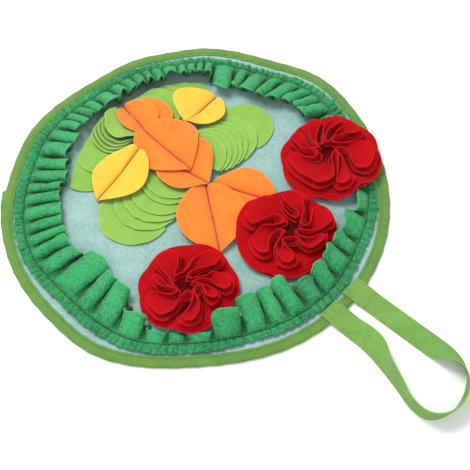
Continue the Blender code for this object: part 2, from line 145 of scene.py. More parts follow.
def solidTree(name):
    if name not in solidTrees:
        bm = bmesh.new()
        bm.from_mesh(solids[name].data)
        bmesh.ops.scale(bm, vec=(1 / mm, 1 / mm, 1 / mm), verts=bm.verts)
        solidTrees[name] = BVHTree.FromBMesh(bm)
        bm.free()
    return solidTrees[name]


def rayDown(tree, x, y):
    # where a ray from above meets a solid, or None
    return tree.ray_cast(Vector((x, y, rayFrom)), Vector((0, 0, -1)))[0]


def topOf(name, x, y):
    # height of a solid's upper side, also just outside its outline
    tree = solidTree(name)
    hit = rayDown(tree, x, y)
    if hit is None:
        near = tree.find_nearest(Vector((x, y, nearFrom)))[0]
        hit = rayDown(tree, near.x + (hair if x > near.x else -hair), near.y) or near
    return hit.z


def finish(name, bm, material, thick=None, uv=None, edge=0.3, around=None):
    # an object in metres at the origin; thick makes it a sheet, around is the length where its map closes
    bmesh.ops.scale(bm, vec=(mm, mm, mm), verts=bm.verts)
    for f in bm.faces:
        f.smooth = True
    mesh = bpy.data.meshes.new(name)
    bm.to_mesh(mesh)
    bm.free()
    if uv is not None:
        layer = mesh.uv_layers.new(name="cloth")
        for face in mesh.polygons:
            spots = [list(uv[mesh.loops[k].vertex_index]) for k in face.loop_indices]
            if around and max(s[0] for s in spots) - min(s[0] for s in spots) > around / 2:
                for s in spots:
                    s[0] += around if s[0] < around / 2 else 0.0
            for k, spot in zip(face.loop_indices, spots):
                layer.data[k].uv = spot
    obj = bpy.data.objects.new(name, mesh)
    bpy.context.scene.collection.objects.link(obj)
    mesh.materials.append(material)
    if thick:
        wall = obj.modifiers.new("thickness", "SOLIDIFY")
        wall.thickness = thick * mm
        wall.offset = 0
        soft = obj.modifiers.new("soft edge", "BEVEL")
        soft.width = edge * mm
        soft.segments = 2
        soft.limit_method = "ANGLE"
        soft.angle_limit = math.radians(50)
    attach(obj, "root")
    return obj


def stitchRun(name, points, yarn, pitch=3.0, gap=0.9, radius=0.21):
    # a run of stitches: short bars of thread laid along a line of (x, y, z) points
    bm = bmesh.new()
    line = [Vector(p) for p in points]
    lengths = [0.0]
    for a, b in zip(line, line[1:]):
        lengths.append(lengths[-1] + (b - a).length)

    def at(d):
        i = min(max(int(np.searchsorted(lengths, d)), 1), len(line) - 1)
        span = max(lengths[i] - lengths[i - 1], 1e-6)
        return line[i - 1].lerp(line[i], (d - lengths[i - 1]) / span)

    for k in range(int(lengths[-1] / pitch)):
        start, end = at(k * pitch), at(k * pitch + pitch - gap)
        way = end - start
        made = bmesh.ops.create_cone(bm, cap_ends=True, segments=6, radius1=radius, radius2=radius,
                                     depth=way.length)["verts"]
        turn = Vector((0, 0, 1)).rotation_difference(way).to_matrix().to_4x4()
        bmesh.ops.transform(bm, matrix=Matrix.Translation((start + end) / 2) @ turn, verts=made)
    finish(name, bm, yarn)


# materials

class Sock:
    # a node socket that adds Math nodes when it is used in an expression
    def __init__(self, shader, link):
        self.shader, self.link = shader, link

    def maths(self, operation, *values):
        return self.shader.node("ShaderNodeMath", {"operation": operation}, dict(enumerate(values)))

    def __add__(self, other):
        return self.maths("ADD", self, other)
    __radd__ = __add__

    def __sub__(self, other):
        return self.maths("SUBTRACT", self, other)

    def __rsub__(self, other):
        return self.maths("SUBTRACT", other, self)

    def __mul__(self, other):
        return self.maths("MULTIPLY", self, other)
    __rmul__ = __mul__

    def __truediv__(self, other):
        return self.maths("DIVIDE", self, other)

    def wave(self):
        return self.maths("SINE", self)

    def clamp(self):
        return self.maths("MINIMUM", self.maths("MAXIMUM", self, 0.0), 1.0)


class Shader:
    def __init__(self, name):
        self.mat = bpy.data.materials.new(name)
        self.mat.use_nodes = True
        self.tree = self.mat.node_tree
        self.out = self.tree.nodes["Principled BSDF"]

    def fill(self, node, values):
        for key, value in values.items():
            if isinstance(value, Sock):
                self.tree.links.new(value.link, node.inputs[key])
            elif value is not None:
                node.inputs[key].default_value = value

    def node(self, kind, settings, values, output=0):
        made = self.tree.nodes.new(kind)
        for key, value in settings.items():
            setattr(made, key, value)
        self.fill(made, values)
        return Sock(self, made.outputs[output])

    def place(self):
        return self.node("ShaderNodeTexCoord", {}, {}, "Object")

    def map(self):
        # the two numbers that a cloth's map holds
        both = self.node("ShaderNodeUVMap", {"uv_map": "cloth"}, {})
        first = self.node("ShaderNodeSeparateXYZ", {}, {0: both})
        return first, Sock(self, first.link.node.outputs[1])

    def noise(self, where, scale, detail, rough):
        return self.node("ShaderNodeTexNoise", {},
                         {"Vector": where, "Scale": scale, "Detail": detail, "Roughness": rough}, "Fac")

    def mix(self, share, first, second):
        return self.node("ShaderNodeMix", {"data_type": "RGBA"}, {0: share, 6: first, 7: second}, 2)

    def bump(self, height, strength, distance):
        return self.node("ShaderNodeBump", {}, {"Height": height, "Strength": strength, "Distance": distance})

    def finish(self, colour, rough, normal=None, sheen=0.0, specular=0.25):
        self.fill(self.out, {"Base Color": colour, "Roughness": rough, "Normal": normal,
                             "Sheen Weight": sheen, "Sheen Roughness": 0.6, "Specular IOR Level": specular})
        return self.mat


def srgb(*channels):
    line = [c / 255 / 12.92 if c / 255 <= 0.04045 else ((c / 255 + 0.055) / 1.055) ** 2.4 for c in channels]
    return (*line, 1)


# nap, tuft, patch, fibre, cloud, fuzz and twist: a noise's scale, detail, roughness and share in the colour
fleeceLook = {
    "nap": (760, 2, 0.6), "tuft": (260, 2, 0.5, 1.2), "patch": (30, 3, 0.55, 1.3),
    # the rim colour is a painted highlight along the free edge; the furrow share mixes in the darkest colour
    # as painted shade
    "rimHighlightWide": 1.8, "rimHighlightShare": 0.5, "furrow": 0.8, "relief": 0.8, "bump": 0.0016,
    "ruffle": {"light": srgb(62, 168, 103), "dark": srgb(22, 102, 55), "paintedShade": srgb(6, 44, 24),
               "rim": srgb(96, 200, 134), "strength": 1.0, "contrast": 2.7},
    "base": {"light": srgb(160, 192, 187), "dark": srgb(126, 166, 159), "paintedShade": srgb(60, 90, 86),
             "rim": srgb(160, 192, 187), "strength": 0.4, "contrast": 1.6},
}
feltLook = {
    # the rim colour is a painted highlight along the cut rim; the furrow share mixes in the darkest colour as
    # painted shade
    "fibre": (1500, 3, 0.6, 1.3), "cloud": (60, 3, 0.55, 1.0), "rimHighlightWide": 1.5, "furrow": 0.85,
    "fibreRelief": 0.6, "cloudRelief": 0.5, "strength": 0.35, "bump": 0.0007,
    "leaf": {"light": srgb(143, 184, 84), "dark": srgb(112, 158, 60), "rim": srgb(160, 198, 102),
             "paintedShade": srgb(40, 78, 22), "rimHighlightShare": 0.8, "sheen": 0.15},
    "orange": {"light": srgb(247, 130, 50), "dark": srgb(238, 110, 32), "rim": srgb(250, 140, 62),
               "paintedShade": srgb(132, 44, 8), "rimHighlightShare": 0.8, "sheen": 0.15},
    "yellow": {"light": srgb(245, 190, 68), "dark": srgb(236, 174, 48), "rim": srgb(248, 196, 80),
               "paintedShade": srgb(138, 84, 14), "rimHighlightShare": 0.8, "sheen": 0.15},
    "red": {"light": srgb(184, 4, 17), "dark": srgb(145, 1, 8), "rim": srgb(206, 16, 32),
            "paintedShade": srgb(46, 0, 3), "rimHighlightShare": 0.45, "sheen": 0.04},
}
webbingLook = {
    "rib": 2.9, "cross": 2.5, "weave": 0.8, "fuzz": (1200, 2, 0.6, 1.4), "patch": (45, 2, 0.5, 0.6),
    "fuzzRelief": 0.4, "strength": 0.8, "bump": 0.0008,
    # the binding's colours are the loop's webbing darkened, as painted shade on the tape round the edge
    "binding": {"light": srgb(118, 164, 76), "dark": srgb(54, 100, 32)},
    "loop": {"light": srgb(136, 186, 88), "dark": srgb(70, 120, 42)},
}
threadLook = {
    "twist": (2600, 1, 0.5), "shade": 0.75, "green": srgb(78, 134, 48), "dark_green": srgb(14, 70, 36),
}


def fleece(kind):
    # the map holds millimetres in from the free edge and painted shade, below 0 a painted highlight on ridges
    cloth, look = fleeceLook, fleeceLook[kind]
    s = Shader("fleece_" + kind)
    inward, furrow = s.map()
    at = s.place()
    nap, tuft, patch = (s.noise(at, *cloth[grain][:3]) for grain in ("nap", "tuft", "patch"))
    # ridges, below 0 in the map, are pushed to the light colour as a painted highlight
    share = ((nap - 0.5) * look["contrast"] + (tuft - 0.5) * cloth["tuft"][3]
             + (patch - 0.5) * cloth["patch"][3] + 0.5 + (furrow * -1.0).clamp()).clamp()
    # a painted highlight in the rim colour along the free edge
    rim = (1.0 - inward / cloth["rimHighlightWide"]).clamp() * cloth["rimHighlightShare"]
    plain = s.mix(rim, s.mix(share, look["dark"], look["light"]), look["rim"])
    # painted shade: the furrow's share of the darkest colour
    colour = s.mix((furrow * cloth["furrow"]).clamp(), plain, look["paintedShade"])
    normal = s.bump(nap * cloth["relief"] + tuft * cloth["relief"], look["strength"], cloth["bump"])
    return s.finish(colour, 0.95, normal, sheen=0.12, specular=0.08)


def felt(kind):
    # the map holds millimetres in from the cut rim and the painted shade of furrows
    cloth, look = feltLook, feltLook[kind]
    s = Shader("felt_" + kind)
    inward, furrow = s.map()
    at = s.place()
    fibre, cloud = (s.noise(at, *cloth[grain][:3]) for grain in ("fibre", "cloud"))
    share = ((fibre - 0.5) * cloth["fibre"][3] + (cloud - 0.5) * cloth["cloud"][3] + 0.6).clamp()
    # a painted highlight in the rim colour along the cut rim
    rim = (1.0 - inward / cloth["rimHighlightWide"]).clamp() * look["rimHighlightShare"]
    plain = s.mix(rim, s.mix(share, look["dark"], look["light"]), look["rim"])
    # painted shade: the furrow's share of the darkest colour
    colour = s.mix((furrow * cloth["furrow"]).clamp(), plain, look["paintedShade"])
    relief = fibre * cloth["fibreRelief"] + cloud * cloth["cloudRelief"]
    normal = s.bump(relief, cloth["strength"], cloth["bump"])
    return s.finish(colour, 0.92, normal, sheen=look["sheen"], specular=0.06)


def webbing(kind):
    # the map holds millimetres along and across the tape
    cloth, look = webbingLook, webbingLook[kind]
    s = Shader("webbing_" + kind)
    along, across = s.map()
    ribs, rows = along * (math.tau / cloth["rib"]), across * (math.tau / cloth["cross"])
    weave = ((ribs + rows).wave() * (ribs - rows).wave()) * 0.5 + 0.5
    at = s.place()
    fuzz, patch = (s.noise(at, *cloth[grain][:3]) for grain in ("fuzz", "patch"))
    share = (weave * cloth["weave"] + (fuzz - 0.5) * cloth["fuzz"][3]
             + (patch - 0.5) * cloth["patch"][3] + 0.25).clamp()
    colour = s.mix(share, look["dark"], look["light"])
    normal = s.bump(weave + fuzz * cloth["fuzzRelief"], cloth["strength"], cloth["bump"])
    return s.finish(colour, 0.75, normal, sheen=0.1, specular=0.2)


def thread(kind):
    s, colour = Shader("thread_" + kind), threadLook[kind]
    dark = (*(c * threadLook["shade"] for c in colour[:3]), 1)
    return s.finish(s.mix(s.noise(s.place(), *threadLook["twist"]), dark, colour), 0.7, specular=0.3)


ruffleFleece, baseFleece = fleece("ruffle"), fleece("base")
felts = {kind: felt(kind) for kind in ("leaf", "orange", "yellow", "red")}
tapes = {kind: webbing(kind) for kind in ("binding", "loop")}
threadGreen, threadDark = thread("green"), thread("dark_green")
print("materials made")


# the mat's cloth and its binding

matSizes = {
    "radius": 225.0, "mean": 222.5, "thick": 3.0, "pinch": 1.5, "gap": 0.3,
    # the bound edge: angle, radius
    "edge": [
        (0, 229.5), (20, 227), (45, 222), (70, 221), (90, 225), (108, 217.5), (130, 222.5), (142, 220.5),
        (154, 222), (170, 218), (195, 225), (212, 222), (240, 224), (268, 223), (287, 228.5), (315, 221.5),
        (343, 228.5),
    ],
    "roundWithin": 150,                                    # its unevenness fades from here to the middle
    "trough": 1.9, "troughSize": 46, "crinkle": 0.5, "crinkleSize": 15, "hollowsTo": 214, "hollowsFade": 12,
    "tape": 25.0, "tapeThick": 1.1, "tapeMean": 223, "pucker": 0.18, "stitchIn": 9.5, "stitchDent": 0.25,
    # the tape's lap: where it begins, its step out and its length, its lift and how that fades
    "lapAt": 220.5, "lapStep": 3.5, "lapLong": 20.0, "lapLift": 0.8, "lapFlat": 8, "lapFade": 10,
}
clothLow = matSizes["tapeThick"] + matSizes["gap"]
clothHigh = clothLow + matSizes["pinch"]
bindingTop = clothHigh + matSizes["gap"] + matSizes["tapeThick"]


def edgeRadius(angle):
    return roundTable(matSizes["edge"], angle)


def makeBase():
    # half of the section, from the middle of the underside round the pinched edge to the middle on top,
    # spun round and then drawn to the uneven outline
    s = matSizes
    step = s["tape"] / 2 + 0.4
    edge = [(step, 0), (step - 0.1, clothLow), (1.7, clothLow), (1.7, clothHigh), (step - 0.6, clothHigh),
            (step + 2.5, s["thick"])]
    line = [(r, 0) for r in range(0, 205, 12)] + [(s["radius"] - inset, z) for inset, z in edge]
    line += [(r, s["thick"]) for r in range(208, 3, -3)] + [(0, s["thick"])]
    bm = spun(line, 240)
    bmesh.ops.recalc_face_normals(bm, faces=bm.faces)
    uv = []
    for v in bm.verts:
        r, a = polar(v.co.x, v.co.y)
        trough = 0.0
        if r > 0.5:
            far = edgeRadius(a) - s["radius"]
            v.co = ringPoint(r + far * smoothStep(r / s["roundWithin"]), a, v.co.z)
        if v.co.z > s["thick"] - 0.05:
            x, y, _ = v.co
            sag = 0.5 + 0.5 * lump(x, y, 0, s["troughSize"], 3.1)
            crinkle = 0.5 + 0.5 * lump(x * 1.6, y * 0.7, 0, s["crinkleSize"], 7.7)
            shown = smoothStep((s["hollowsTo"] - r) / s["hollowsFade"])
            trough = max(0, sag) ** 1.5 * shown
            v.co.z -= s["trough"] * trough + s["crinkle"] * max(0, crinkle) * shown
        uv.append((9.0, 0.2 * trough))                     # 9 is clear of the rim highlight everywhere; the troughs get painted shade
    obj = finish("mat_cloth", bm, baseFleece, uv=uv)
    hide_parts("base_cloth")


def lapOut(angle):
    # how far the lapped end stands out
    past = (angle - matSizes["lapAt"]) % 360
    return matSizes["lapStep"] * (1 - past / matSizes["lapLong"]) if past < matSizes["lapLong"] else 0.0


def lapRise(angle):
    # how far the tape lies higher on its other end
    s = matSizes
    past = (angle - s["lapAt"]) % 360
    shown = past < s["lapFlat"] + s["lapFade"]
    return s["lapLift"] * (1 - smoothStep((past - s["lapFlat"]) / s["lapFade"])) if shown else 0.0


def makeBinding():
    # the tape's section across: inner edge on top, over the edge, inner edge underneath
    s = matSizes
    half, top = s["tape"] / 2, bindingTop
    section = [(-half, top), (-half + 3, top), (-half + 6, top), (-3.5, top), (-1.6, top - 0.1),
               (-0.5, top - 0.7), (-0.1, top / 2), (-0.5, 0.7), (-1.6, 0.1), (-3.5, 0), (-half + 6, 0),
               (-half, 0)]
    bm = spun([(s["radius"] + r, z) for r, z in section], 480)
    bmesh.ops.recalc_face_normals(bm, faces=bm.faces)
    uv = []
    for v in bm.verts:
        r, a = polar(v.co.x, v.co.y)
        inset, z, turn = s["radius"] - r, v.co.z, math.radians(a)
        uv.append((turn * s["radius"], inset if z > top / 2 - 0.1 else -inset))
        out = lapOut(a) * smoothStep((6.5 - inset) / 5)
        if z > top / 2:
            pucker = s["pucker"] * math.sin(turn * 97 + 2 * math.sin(turn * 11))
            z += pucker * smoothStep((inset - 4) / 6) + lapRise(a)
            z -= s["stitchDent"] * smoothStep(1 - abs(inset - s["stitchIn"]) / 1.4)
        far = edgeRadius(a) - s["radius"] + 0.25 * math.sin(turn * 61)
        v.co = ringPoint(r + far + out, a, z)
    around = math.tau * s["radius"]
    obj = finish("edge_binding", bm, tapes["binding"], s["tapeThick"], uv, 0.2, around)
    obj.modifiers["thickness"].offset = -1
    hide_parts("binding")


def bindingStitches():
    line = []
    for a in np.arange(0, 360.5, 0.5):
        line.append(ringPoint(edgeRadius(a) - matSizes["stitchIn"], a, bindingTop + 0.05 + lapRise(a)))
    stitchRun("binding_stitches", line, threadGreen)


makeBase()
makeBinding()
bindingStitches()
print("mat and binding made")


# the gathered ruffle

ruffleSizes = {
    "thick": 1.8, "low": 3.3, "wide": 48, "spread": 0.8,
    # where it is sewn down: angle, seam in from the bound edge, header outside the seam
    "seam": [
        (0, 27, 10), (18, 28, 8), (32, 25, 10), (60, 26, 10.5), (80, 27, 10.5), (100, 28, 8), (125, 28, 8),
        (150, 27, 10), (170, 26, 10.5), (200, 26, 11), (245, 26, 11), (262, 31, 11), (284, 32, 11),
        (297, 27, 11.5), (316, 26, 11), (332, 28, 8), (345, 28, 9),
    ],
    # first angle, folds, reach of a fold's root, crest height, crest lean, groove width, sideways lean, how
    # far the grooves stand up with the crests, how far the crests droop at the free edge
    "folds": [
        (-9, 4, 26, 20, 2, 3.0, 0.25, 0.5, 0.0), (20, 1, 25, 11, 0, 4.0, 0.10, 0.0, 0.0),
        (31, 1, 13, 10, 4, 3.5, -0.10, 0.0, 0.0), (40, 5, 12, 2.0, 0, 6.0, 0.00, 0.0, 0.0),
        (76, 3, 38, 16, 4, 3.0, 0.50, 0.3, 0.1), (92, 2, 40, 15, 4, 3.0, 0.50, 0.3, 0.1),
        (104, 1, 38, 12, 3, 3.5, 0.40, 0.2, 0.1), (112, 1, 41, 15, 4, 4.5, 0.15, 0.3, 0.1),
        (118, 1, 43, 13, 2, 4.5, -0.15, 0.2, 0.3), (126, 4, 31, 19, 12, 2.6, -0.50, 0.5, 0.1),
        (140, 1, 29, 22, 14, 3.0, -0.30, 0.6, 0.1), (146, 5, 33, 19, 16, 2.6, -0.45, 0.4, 0.2),
        (167, 1, 40, 19, 12, 3.0, -0.30, 0.3, 0.1), (175, 4, 36, 16, 12, 3.0, -0.45, 0.6, 0.1),
        (192, 2, 41, 12, 4, 3.0, -0.10, 0.2, 0.2), (205, 9, 43, 9.5, 0, 3.0, 0.35, 0.0, 0.2),
        (256, 1, 52, 7, 0, 3.2, 0.20, 0.0, 0.0), (270, 1, 48, 9, 0, 3.2, 0.10, 0.0, 0.0),
        (279, 1, 51, 8, 0, 3.2, 0.05, 0.0, 0.0), (288, 1, 26, 9, 0, 3.2, 0.12, 0.0, 0.0),
        (297, 3, 12, 2.0, 0, 5.0, 0.00, 0.0, 0.0), (319, 1, 18, 26, -8, 4.0, 0.08, 0.5, 0.0),
        (330, 1, 38, 18, 0, 3.0, 0.30, 0.3, 0.0), (338, 2, 45, 13, -2, 3.2, 0.35, 0.3, 0.1),
    ],
    # unevenness from fold to fold
    "uneven": {"reach": 0.05, "height": 0.15, "lean": 5, "skew": 0.10, "width": 0.12},
    # across a fold: half widths of the groove, share of the crest; and the same places where it is sewn down
    "stations": [(1.55, 0.0), (0.95, 0.5), (1.5, 0.9), (0, 1.16), (-1.5, 0.9), (-0.95, 0.5), (-1.55, 0.0)],
    "even": [0.08, 0.18, 0.31, 0.50],
    "tightest": 0.36, "skewed": 0.3, "standIn": 0.55, "standUp": 0.62,
    # rows from the header's edge over the seam at 0 to the free edge, and how wide each side is
    "across": [-1.0, -0.9, -0.7, -0.5, -0.3, -0.14, -0.05, 0.0, 0.03, 0.08, 0.16, 0.28, 0.42, 0.56, 0.7, 0.82,
               0.91, 0.97, 1.0],
    "headerWide": 10, "freeWide": 34, "seamMean": 198, "finer": 4,
    # fine relief: puckers of the header, furrow at the seam, drift of the cloth, the edge's sway and roll
    "gather": 1.5, "gatherPitch": 8.5, "furrow": 1.5, "drift": 1.2, "driftSize": 13,
    "sway": 2.8, "swaySize": 21, "roll": 1.6, "rollSize": 16,
    # painted shade in grooves, header valleys, along the seam and under the free edge, and a painted
    # highlight on the crests
    "grooveShade": 0.85, "valleyShade": 0.55, "seamShade": 0.75, "underShade": 0.75, "crestLight": 0.35,
}


def seamRadius(angle):
    return edgeRadius(angle) - roundTable(ruffleSizes["seam"], angle)


def makeFolds():
    # each fold: first and last angle, then the values of its row, a little uneven
    rows, off, found = ruffleSizes["folds"], ruffleSizes["uneven"], []
    for row, after in zip(rows, rows[1:] + [(rows[0][0] + 360,)]):
        width = (after[0] - row[0]) / row[1]
        found += [[row[0] + i * width, row[0] + (i + 1) * width, *row[2:]] for i in range(row[1])]
    for i, fold in enumerate(found):
        fold[2] *= 1 + off["reach"] * uneven(i, 1)
        fold[3] *= 1 + off["height"] * uneven(i, 2)
        fold[4] += off["lean"] * uneven(i, 3) if fold[3] > 6 else 0
        fold[6] += off["skew"] * uneven(i, 4)
        shift = off["width"] * uneven(i, 5) * (fold[1] - fold[0])
        if found[i - 1][1] == fold[0]:
            found[i - 1][1] = fold[0] = fold[0] + shift
    return found


def rufflePoint(fold, near, station, across):
    # a place on the strip: station across the fold, across from the header at -1 to the free edge at 1
    s = ruffleSizes
    offset, crest = s["stations"][station]
    own = min(1.0, 0.5 + 0.5 * crest)           # a groove is shared with the fold beside it
    first, last, *values = fold
    reach, height, lean, groove, skew, stand, droop = (
        own * a + (1 - own) * b for a, b in zip(values, near[2:]))
    v = max(across, 0.0)
    grown = v**0.8
    arc = math.radians(last - first) * (seamRadius(first) - reach * v)
    tight = min(abs(offset) * groove / 2 / arc, s["tightest"]) if offset else 0.5
    even = s["even"][min(station, len(s["stations"]) - 1 - station)]
    part = tight * grown + even * (1 - grown)
    along = (part if offset >= 0 else 1 - part) + s["skewed"] * skew * grown * crest
    angle = first + (last - first) * along
    hang = 1 - (1 - 2 * v) ** 2 * (1.0 if v < 0.5 else 0.45)
    rise = (height * (grown * (1 - droop) + hang * droop) + 1.0) * crest
    tilt = math.radians(lean) * v
    lifted = stand * (1 - min(crest, 1.0))
    radius = seamRadius(angle) - reach * v * (1 - s["standIn"] * lifted) + rise * math.sin(tilt)
    z = s["low"] + s["thick"] / 2 + 0.2 + 0.6 * v + rise * math.cos(tilt)
    z += s["standUp"] * lifted * height * grown
    if across < 0:
        radius -= across * roundTable(s["seam"], angle, 2)
    return *ringPoint(radius, angle, z), crest


def ruffleRows():
    # the strip as closed rows of (x, y, z, crest), from the header's edge to the free edge
    s, folds, rows = ruffleSizes, makeFolds(), []
    each = len(s["stations"])
    for across in s["across"]:
        line = []
        for k in range(len(folds) * each):
            fold, station = divmod(k, each)
            near = folds[(fold + (-1 if station < each / 2 else 1)) % len(folds)]
            line.append(rufflePoint(folds[fold], near, station, across))
        rows.append(smoothLine(line, s["finer"], closed=True))
    return rows


def ruffleDetail(place, across):
    # fine relief at a place on the strip, with its painted shade and painted highlight
    s = ruffleSizes
    x, y, z, crest = place
    far, angle = polar(x, y)
    fromSeam = across * (s["headerWide"] if across < 0 else s["freeWide"])
    # the header is pushed into uneven puckers, and the seam lies in a furrow
    wave = math.radians(angle) * s["seamMean"] * math.tau / s["gatherPitch"] + 3.2 * lump(x, y, 0, 34, 5)
    pucker = math.sin(wave + 0.5 * math.sin(wave)) * (0.75 + 0.25 * lump(x, y, 0, 21, 8))
    header = smoothStep(-across * 3) * (1 - 0.5 * smoothStep((-across - 0.7) * 3))
    z += s["gather"] * (0.9 + pucker) * header
    z += 0.5 * (1 + pucker) * smoothStep(across * 8) * (1 - smoothStep(across * 2.6))
    z -= s["furrow"] * bell(fromSeam, 1.5)
    far += (1.1 * lump(x, y, 0, 9, 2) + 0.7 * pucker) * smoothStep((-across - 0.6) * 2.5)
    # the cloth drifts, and the free edge sways and rolls a little
    z += s["roll"] * lump(x, y, 0, s["rollSize"], 41) * smoothStep((across - 0.7) * 3.3)
    x, y, _ = ringPoint(far, angle, z)
    drift = s["drift"] * smoothStep(max(across, 0) * 1.6)
    sway = s["sway"] * smoothStep((across - 0.45) * 1.9)
    x += drift * lump(x, y, z, s["driftSize"], 11) + sway * lump(x, y, z * 1.5, s["swaySize"], 51)
    y += drift * lump(x, y, z, s["driftSize"], 23) + sway * lump(x, y, z * 1.5, s["swaySize"], 63)
    z += 0.9 * drift * lump(x, y, z, 12, 31)
    # painted shade in grooves, header valleys, along the seam and under the free edge, less a painted
    # highlight on crests
    groove = s["grooveShade"] * smoothStep(1.15 - crest * 1.35) * smoothStep(across * 5)
    valley = s["valleyShade"] * smoothStep(-pucker) * header
    seam = s["seamShade"] * bell(fromSeam, 1.3)
    under = s["underShade"] * smoothStep((across - 0.75) * 4) * smoothStep(0.7 - crest)
    crestHighlight = s["crestLight"] * smoothStep((crest - 0.85) * 4) * smoothStep(across * 3)
    return (x, y, max(z, s["low"] + s["thick"] / 2 - 0.2)), max(groove, valley, seam, under) - crestHighlight


def makeRuffle():
    s, rows = ruffleSizes, ruffleRows()
    columns, inner = len(rows[0]), 10
    bm, uv = spun([(inner + i, 0) for i in range(len(rows))], columns), []
    for v in bm.verts:
        r, a = polar(v.co.x, v.co.y)
        i, k = round(r - inner), round(a / 360 * columns) % columns
        v.co, shade = ruffleDetail(rows[i][k], s["across"][i])
        # the first number lets the free edge get a painted highlight, the second is the painted shade
        uv.append(((1 - s["across"][i]) * 40, shade))
    bmesh.ops.recalc_face_normals(bm, faces=bm.faces)
    print("ruffle cloth", round(flatArea(bm), 4), "square metres in", columns, "columns")
    edge = rows[-1][:, :3]
    long = float(np.linalg.norm(edge - np.roll(edge, 1, 0), axis=1).sum())
    obj = finish("ruffle_strip", bm, ruffleFleece, s["thick"], uv, 0.5)
    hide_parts("ruffle")
    print("ruffle free edge", round(long), "mm")
    s["wide"] * mm
    s["spread"] * long * mm


def ruffleStitches():
    s, line = ruffleSizes, []
    for a in np.arange(0, 360.25, 0.25):
        x, y, _ = ringPoint(seamRadius(a), a, 0)
        line.append((x, y, s["low"] + s["thick"] + 0.3 + 0.15 * lump(x, y, 0, 6, 12)))
    stitchRun("ruffle_stitches", line, threadDark, 3.4, 1.2, 0.225)


makeRuffle()
ruffleStitches()
print("ruffle made")


# felt leaves

feltSizes = {
    "thick": 1.2, "steps": 72, "rings": [0, 0.15, 0.3, 0.45, 0.6, 0.72, 0.83, 0.91, 0.97, 1.0],
    "cut": 0.02, "nick": 0.09,                             # unevenness of a leaf's outline
    # leaves and petals stay inside this line: angle, radius
    "field": [
        (0, 148), (60, 150), (110, 158), (135, 164), (160, 160), (180, 156), (200, 150), (260, 142),
        (320, 148),
    ],
}
# each frond: direction of its tips, how far its upper leaves' edges ripple, then tip x, tip y, radius and
# length of each leaf, the lowest first
fronds = {
    "frond_a": (90, 0.6, [
        (-19, 141, 36, 48), (-21, 114, 37, 45), (-22, 99, 36, 42), (-22, 91, 35, 42), (-23, 83, 34, 40),
        (-24, 75, 32, 38), (-25, 68, 30, 34),
    ]),
    "frond_b": (270, 0.6, [
        (-31, -109, 43, 52), (-29, -85, 40, 45), (-28, -72, 39, 44), (-28, -60, 38, 42), (-29, -43, 35, 38),
        (-31, -36, 34, 36),
    ]),
    "frond_c": (90, 0.6, [
        (-106, 124, 38, 46), (-114, 112, 37, 44), (-115, 97, 36, 40), (-117, 86, 35, 38), (-118, 70, 33, 34),
    ]),
    "frond_d": (262, 6.5, [
        (-124, -90, 36, 60), (-129, -62, 36, 52), (-132, -31, 29, 36), (-132, -26, 29, 34),
        (-131, -21, 29, 32), (-130, -16, 29, 30), (-129, -11, 29, 28),
    ]),
}


def inField(cx, cy, dx, dy, reach):
    # how far to go from a centre in a direction, at most to the field's edge
    field = roundTable(feltSizes["field"], math.degrees(math.atan2(cy + dy * reach, cx + dx * reach)))
    dot = cx * dx + cy * dy
    return min(reach, -dot + math.sqrt(dot * dot - (cx * cx + cy * cy) + field**2))


def laySheet(bm, node, colour, name, uv, lifts=None, smooth=6):
    # drapes a flat outline on its solid's upper side, lifts its places and finishes it as felt
    area, box = flatArea(bm), flatBox(bm)
    for v in bm.verts:
        v.co.z = topOf(node, v.co.x, v.co.y) - feltSizes["thick"] / 2
    for _ in range(smooth):
        bmesh.ops.smooth_vert(bm, verts=bm.verts, factor=0.5, use_axis_x=False, use_axis_y=False,
                              use_axis_z=True)
    for v, rise in (lifts or {}).items():
        v.co.z += rise
    obj = finish(name, bm, felts[colour], feltSizes["thick"], uv)
    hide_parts(node)
    min(area, box[0] * box[1])


def makeLeaf(frond, i):
    s, (direction, ripple, tips) = feltSizes, fronds[frond]
    x, y, radius, length = tips[i]
    ux, uy, _ = ringPoint(1, direction, 0)
    cx, cy = x - radius * ux, y - radius * uy
    rippled = ripple > 1 and 1 < i < len(tips) - 1         # inside their rims these get painted shade
    bm, lifts, uv = flatDisc(s["rings"], s["steps"]), {}, []
    for v in bm.verts:
        r, angle = polar(v.co.x, v.co.y)
        dx, dy, _ = ringPoint(1, angle, 0)
        ahead = dx * ux + dy * uy
        reach = min(radius, (length - radius) / -ahead) if ahead < -0.05 else radius
        reach = inField(cx, cy, dx, dy, reach)
        cut = lump(dx * 2.2, dy * 2.2, i, 1.0, ord(frond[-1]))
        reach *= 1 + s["cut"] * cut - s["nick"] * max(0, abs(cut) - 0.55)
        v.co = (cx + dx * reach * r, cy + dy * reach * r, 0)
        # the cut rim gets a painted highlight, and the middle rippled leaves painted shade inside their rims
        uv.append((reach * (1 - r), 0.85 * smoothStep((0.97 - r) / 0.11) if rippled else 0.0))
        edge = r**3 * (0.5 + 0.6 * lump(dx * 1.7, dy * 1.7, i * 0.7, 1.0, 4.0))
        wave = 0.5 + 0.5 * math.sin(3.0 * math.radians(angle) + 0.35 * i + 1.0)
        lifts[v] = edge + ripple * r**3 * wave * (i > 1) * smoothStep(ahead + 0.9)
    laySheet(bm, f"{frond}_leaf_{i + 1}", "leaf", f"{frond}_felt_{i + 1}", uv, lifts)


for frond in fronds:
    for i in range(len(fronds[frond][2])):
        makeLeaf(frond, i)
print("leaves made")


# petals with a pinched crease

